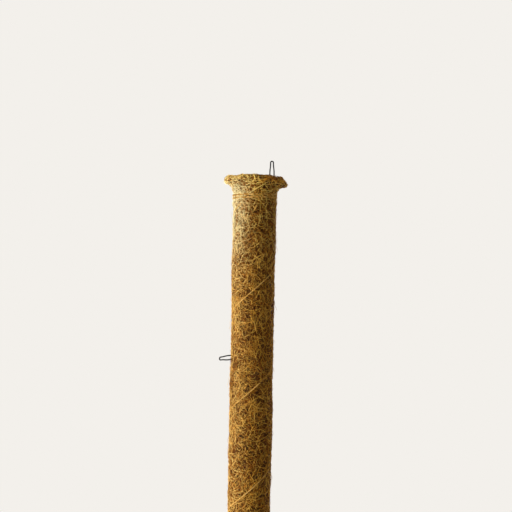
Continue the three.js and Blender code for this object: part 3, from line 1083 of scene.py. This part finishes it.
# %% [markdown]
# Between the fibres sit flecks of pith, the soft filling of the husk. Sculpting each would be
# wasted at this size, so a fleck is a small ball pressed flat and crumpled, with its axes laid
# along the mat: round, up and out. A larger one lies on top of the fibres at the front, below
# the neck.

# %% Flecks of pith
FLECKS = 90
FLECK_LIFT = 0.1  # mm off the skin
FRONT_FLECK = (451.0, math.pi + 0.06, 1.0, 1.7)  # mm up, radians from the seam, mm off, size
FLECK_FLAT = 0.3
CRUMPLE = 0.09  # mm

flecks = bmesh.new()
chance = np.random.default_rng(240)
places = [
    (chance.uniform(4.0, 470.0), chance.uniform(0.1, 6.1), FLECK_LIFT, 1.0) for _ in range(FLECKS)
]
for run, turn, lift, size in places + [FRONT_FLECK]:
    lifts = np.array([lift, lift + 1.0]) * MM
    spot, above = mat_skin.spots(np.full(2, run * MM), SEAM + np.full(2, turn), lifts)
    out = Vector(above - spot).normalized()
    lean = out.to_track_quat("Z", "Y").to_matrix().to_4x4()
    spin = Matrix.Rotation(chance.uniform(0.0, 3.1), 4, "Z")
    wide = size * chance.uniform(0.8, 2.0)
    long = size * chance.uniform(0.5, 1.2)
    flat = Matrix.Diagonal((wide, long, FLECK_FLAT, 1.0))
    made = bmesh.ops.create_icosphere(
        flecks, subdivisions=2, radius=MM, matrix=Matrix.Translation(spot) @ lean @ spin @ flat,
    )
    for vert in made["verts"]:
        vert.co += Vector(chance.normal(0.0, CRUMPLE, 3)) * MM
print("flecks:", len(places) + 1)

# %% [markdown]
# Pith is a dry, crumbly brown, like cork. Fine noise makes the crumbs, in colour and in bump, and
# slow noise keeps the flecks from being all alike.

# %% Pith finish
pith, place = new_finish("husk_pith")
grain = pith.noise(place, 900.0, 4.0)
patches = pith.noise(place, 60.0, 2.0)
crumb = grain * 0.7 + (patches - 0.5) * 0.9 + 0.15
pith_finish = pith.finish({
    "Base Color": pith.ramp(crumb, (0.2, "6E4716"), (0.5, "A97B30"), (0.8, "CBA356")),
    "Specular IOR Level": 0.1,
    "Roughness": 0.75 + grain * 0.2,
    "Normal": pith.bump(grain, 0.7, 0.3 * MM),
})
piece("husk_flecks", mesh_of(flecks), "pole", "coir", pith_finish)

# %% [markdown]
# Yarn and thread are spun from the same fibre. Each lies in a helix on the mat, and its ends turn
# square into it, where the mat's own grip holds them. One function works out such a way: the turn
# inwards, the helix and the turn inwards at the other end. What is wound by hand sways from an
# even helix, twice in each turn.

# %% A winding with tucked ends
YARN = 2.0 * MM
THREAD = 1.2 * MM
TUCK_BEND = 1.25  # bend radius of a tucked end, in thicknesses
BEND_POINTS, TUCK_POINTS = 8, 4
WINDING_STEP = 0.6 * MM
SWAY_IN = 0.5  # of the sway, inwards at the sides


def winding(radius, first, last, low, high, thickness, by_hand=0.0):
    """Centre line of a binding from its first to its last angle, with tucked ends and a sway."""
    bend = TUCK_BEND * thickness
    steps = 2 + int((last - first) * radius / WINDING_STEP)
    swing = np.linspace(0.0, math.pi / 2, BEND_POINTS)[1:]
    deeper = thickness * np.linspace(0.0, 1.0, TUCK_POINTS + 1)[1:]
    inwards = np.r_[bend * (1 - np.cos(swing)), bend + deeper]
    onwards = np.r_[bend * np.sin(swing), np.full(TUCK_POINTS, bend)] / radius
    turn = np.r_[(first - onwards)[::-1], np.linspace(first, last, steps), last + onwards]
    out = np.r_[(radius - inwards)[::-1], np.full(steps, radius), radius - inwards]
    ends = np.ones(len(inwards))
    height = np.r_[low * ends, np.linspace(low, high, steps), high * ends]
    height = height + by_hand * np.sin(2 * (turn + SEAM))
    out = out - SWAY_IN * by_hand * np.cos(turn) ** 2
    return np.stack([out * np.cos(turn), out * np.sin(turn), height], axis=1)


print("yarn tucked in, mm:", round((TUCK_BEND + 1) * YARN / MM, 2))

# %% [markdown]
# Each lashing is two turns of yarn that start and end at the seam. The thread goes up the whole
# pole and crosses the front where the solids' thread does. The solids' own loops have 24 corners
# that lie a little outside the round, which the radius takes in, and all three have sunk into the
# mat a little.

# %% Ways of the bindings
ROUND_GAP = 0.3 * MM  # between the solids of mat and binding
LOOP = math.cos(math.pi / 24)
YARN_SUNK = 0.9 * MM
THREAD_SUNK = 0.54 * MM
HAND_SWAY = 1.75 * MM
PITCH = 98.0 * MM
CROSSING = TOP - 114.5 * MM  # height at which the thread crosses the front


def lashing(low, high):
    """Two turns of yarn between two heights, from the seam to the seam."""
    radius = (BODY_RADIUS + ROUND_GAP + YARN / 2) / LOOP - YARN_SUNK
    room = TUCK_BEND * YARN / radius
    first = SEAM + room
    last = SEAM + 4 * math.pi - room
    return winding(radius, first, last, low.z + YARN / 2, high.z - YARN / 2, YARN)


neck_line = lashing(neck_low, neck_high)
foot_line = lashing(foot_low, foot_high)
spiral_low, spiral_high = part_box("spiral_binding")
low = spiral_low.z + THREAD / 2
high = spiral_high.z - THREAD / 2
first = -SEAM + (low - CROSSING) / PITCH * 2 * math.pi
last = -SEAM + (high - CROSSING) / PITCH * 2 * math.pi
thread_radius = (BODY_RADIUS + ROUND_GAP + THREAD / 2) / LOOP - THREAD_SUNK
spiral_line = winding(thread_radius, first, last, low, high, THREAD, HAND_SWAY)
print("windings, points:", len(neck_line), len(foot_line), len(spiral_line))

# %% [markdown]
# Each binding is two plies of a few strands, twisted round each other against the twist of the
# plies. The strands are laid round the centre line of the winding, so the solids' route decides
# where they run. A bump on a smooth tube would be lighter, but its outline would stay smooth.

# %% Twisted strands
YARN_LAY, THREAD_LAY = 8.0 * MM, 5.0 * MM  # length of one twist
YARN_STRANDS, THREAD_STRANDS = 6, 4  # of a ply
PLY_OFFSET = 0.25  # from the centre line to a ply, in thicknesses
STRAND_OFFSET = 0.17  # from the middle of a ply to a strand
PLY_LAY = 1.7  # turns of the yarn for one of a ply
LOOSENESS, LOOSE_PHASE = 0.16, 2.1  # of a strand in its ply, and from one to the next
LOOSE_WAVE = 5.3 * MM


def twisted(line, thickness, lay, strands):
    """Centre lines of the strands of two plies that are twisted round a centre line."""
    heading = unit(np.gradient(line, axis=0))
    rise = unit(np.array([0.0, 0.0, 1.0]) - heading * heading[:, 2:])
    side = np.cross(heading, rise)
    arc = np.r_[0.0, np.cumsum(np.linalg.norm(np.diff(line, axis=0), axis=1))]
    made = []
    for ply in (0.0, math.pi):
        twist = 2 * math.pi * arc / lay + ply
        for strand in range(strands):
            spin = 2 * math.pi * (strand / strands - arc / (PLY_LAY * lay))
            loose = 1 + LOOSENESS * np.sin(arc / LOOSE_WAVE + LOOSE_PHASE * strand + ply)
            up = PLY_OFFSET * np.cos(twist) + STRAND_OFFSET * loose * np.cos(spin)
            out = PLY_OFFSET * np.sin(twist) + STRAND_OFFSET * loose * np.sin(spin)
            made.append(line + thickness * (up[:, None] * rise + out[:, None] * side))
    return made


print("strands of the yarn:", len(twisted(neck_line, YARN, YARN_LAY, YARN_STRANDS)))

# %% [markdown]
# The strands of yarn and thread are picked from the longest and palest fibre, so the finish of
# the mat's fibres would be too dark and too patchy on them. Each strand has a tone of its own,
# patches along the yarn are browner, and fine noise gives the scaly skin.

# %% Twine finish
twine, place = new_finish("coir_twine")
tone = twine.node("Attribute", {"attribute_name": "tone"}, {}, "Fac")
patches = twine.noise(place, 90.0, 3.0)
scales = twine.noise(place, 800.0, 3.0)
shade = tone * 0.8 + (patches - 0.5) * 0.45 + (scales - 0.5) * 0.3 + 0.1
browns = [(0.10, "5B3510"), (0.36, "A56F25"), (0.62, "D29E48"), (0.95, "F2CF82")]
twine_finish = twine.finish({
    "Base Color": twine.ramp(shade, *browns),
    "Specular IOR Level": 0.1,
    "Roughness": 0.55 + scales * 0.3,
    "Normal": twine.bump(scales, 0.4, 0.12 * MM),
})

# %% [markdown]
# The lashings are thick yarn of twelve strands. The thread has eight and is the palest, because
# its one long line across the front has to stand out from the fibres around it.

# %% Lashings and thread
STRAND_WIDTH = 0.86  # of the thickness, for all the strands of a ply side by side
BINDING_SIDES = 4

chance = np.random.default_rng(310)


def bound(name, line, thickness, lay, strands, tones, node):
    """A binding of two twisted plies along a winding's centre line."""
    lines = twisted(line, thickness, lay, strands)
    shades = chance.uniform(*tones, len(lines))
    widths = [STRAND_WIDTH * thickness / strands] * len(lines)
    rope = swept(lines, widths, shades, BINDING_SIDES, blunt=True)
    piece(name, rope, "pole", "twine", twine_finish, node)


yarn = (YARN, YARN_LAY, YARN_STRANDS)
thread = (THREAD, THREAD_LAY, THREAD_STRANDS)
bound("neck_yarn", neck_line, *yarn, (0.25, 1.05), "neck_lashing")
bound("foot_yarn", foot_line, *yarn, (0.1, 0.9), "foot_lashing")
bound("spiral_thread", spiral_line, *thread, (0.5, 1.0), "spiral_binding")

# %% [markdown]
# Coir yarn is hairy. Short fibres start in the plies and stick out along the way they were spun.
# Fibres that wander over the mat would lie too flat for that, so each of these begins at a random
# point of the winding, off its middle, and curls away in its own direction: it swings to a side,
# rises a little and sways back.

# %% Fuzz of the bindings
FUZZ_LENGTH = (3, 7)  # mm
FROM_START, FROM_END = 12, 30  # points of a winding that stay bare
AHEAD = 12  # points, for the direction
ROOT_OUT, ROOT_SIDE = 0.35, 0.25  # where a fibre starts, in thicknesses
SWING, SWAY = 0.55, 0.8  # sideways, in lengths
RISE = (0.02, 0.14)  # outwards, in lengths

chance = np.random.default_rng(320)


def fuzz(line, thickness, count):
    """Short curled fibres that spring from a winding."""
    spot = chance.integers(FROM_START, len(line) - FROM_END, count)
    along = np.linspace(0.0, 1.0, POINTS)[:, None]
    ahead = unit(line[spot + AHEAD] - line[spot])
    out = unit(line[spot] * [1.0, 1.0, 0.0])
    side = np.cross(ahead, out)
    size = chance.uniform(*FUZZ_LENGTH, count) * MM
    swing = side * chance.normal(0.0, SWING, count)[:, None]
    rise = out * chance.uniform(*RISE, count)[:, None]
    sway = side * chance.normal(0.0, SWAY, count)[:, None]
    way = ahead[:, None] * along + swing[:, None] * along ** 1.5
    way = way + rise[:, None] * along ** 2 + sway[:, None] * along ** 3
    root = out * ROOT_OUT + side * chance.normal(0.0, ROOT_SIDE, (count, 1))
    start = line[spot] + root * thickness
    return start[:, None] + way * size[:, None, None]


tufts = [
    fuzz(neck_line, YARN, 130),
    fuzz(foot_line, YARN, 130),
    fuzz(spiral_line, THREAD, 300),
]
laid("binding_fuzz", chance, np.concatenate(tufts), (0.18, 0.34), (0.5, 1.0), slot="twine")

# %% [markdown]
# The hairpins are dark wire, bent by hand over a rod and pushed into the mat. The wire's way is
# worked out as the bending goes: straight legs, shoulders that draw together and a round crown.
# One half is worked out and mirrored. A slight bow keeps it from looking machined, and the tips
# are cut blunt.

# %% Bending the hairpins
WIRE = 1.25 * MM
CROWN = 1.4 * MM  # bend of the crown, to the wire's middle
LEG_POINTS = [0.0, 0.02, 0.2, 6.0, 14.0]  # mm from the tip
SHOULDER_POINTS, CROWN_POINTS = 14, 10
BOWED = SHOULDER + 6.0 * MM  # length that the bow runs over
TOP_BOW, SIDE_BOW = -0.2, -0.3  # mm at the crown
BOW_SIDEWAYS = 0.5  # of the bow, out of the pin's plane


def hairpin(crown, out, across, bow):
    """Centre line of a hairpin with its crown's top at a point and its legs away from out."""
    sideways = out.cross(across)
    half = SPREAD / 2
    top = -WIRE / 2 - CROWN
    mid = (top - SHOULDER) / 2
    way = [(-half, -PIN_LENGTH + step * MM) for step in LEG_POINTS]
    for share in np.linspace(0.0, 1.0, SHOULDER_POINTS)[:-1]:
        keep = 1 - share
        ease = share * share * (3 - 2 * share)
        fall = keep ** 3 * -SHOULDER + 3 * keep * share * mid + share ** 3 * top
        way.append((-half + (half - CROWN) * ease, fall))
    for turn in np.linspace(math.pi, math.pi / 2, CROWN_POINTS):
        way.append((CROWN * math.cos(turn), top + CROWN * math.sin(turn)))
    way += [(-x, z) for x, z in reversed(way[:-1])]
    spots = []
    for x, z in way:
        shown = max(0.0, 1 + z / BOWED)
        wobble = bow * shown * shown * MM
        spots.append(crown + across * (x + wobble) + out * z + sideways * (BOW_SIDEWAYS * wobble))
    return np.array(spots)


top_line = hairpin(top_crown, UP, RIGHT, TOP_BOW)
side_line = hairpin(side_crown, side_out, UP, SIDE_BOW)
print("points along a hairpin:", len(top_line))

# %% [markdown]
# The wire is covered in a thin black enamel, which has worn through to brown metal in spots
# where it was bent and pushed. One pattern of noise decides where, and colour, roughness and
# metal all follow it. Fine noise keeps the enamel from being evenly black. The pins are swept as
# the strands are, with more sides.

# %% Wire hairpins
WIRE_SIDES = 12

wire, place = new_finish("dark_enamelled_wire")
drawn = wire.noise(place, 1400.0, 3.0)
worn = wire.noise(place, 320.0, 5.0).between(0.60, 0.72)
enamel = wire.mixed(drawn, dye("0D0B0A"), dye("1D1917"))
wire_finish = wire.finish({
    "Base Color": wire.mixed(worn * 0.5, enamel, dye("4A3C30")),
    "Specular IOR Level": 0.12,
    "Roughness": 0.48 + drawn * 0.22 + worn * 0.2,
    "Metallic": worn * 0.3,
    "Normal": wire.bump(drawn, 0.2, 0.05 * MM),
})
top_pin = swept([top_line], [WIRE], [0.5], WIRE_SIDES, blunt=True)
side_pin = swept([side_line], [WIRE], [0.5], WIRE_SIDES, blunt=True)
piece("top_hairpin", top_pin, "top_pin", "dark_wire", wire_finish, "vine_pin_top")
piece("side_hairpin", side_pin, "left_pin", "dark_wire", wire_finish, "vine_pin_left")

# %% [markdown] Last comes the size: the looks may not change the object's dimensions.

# %% Size and finish
low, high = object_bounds()
print("looks, mm:", [round((b - a) / MM, 1) for a, b in zip(low, high)])
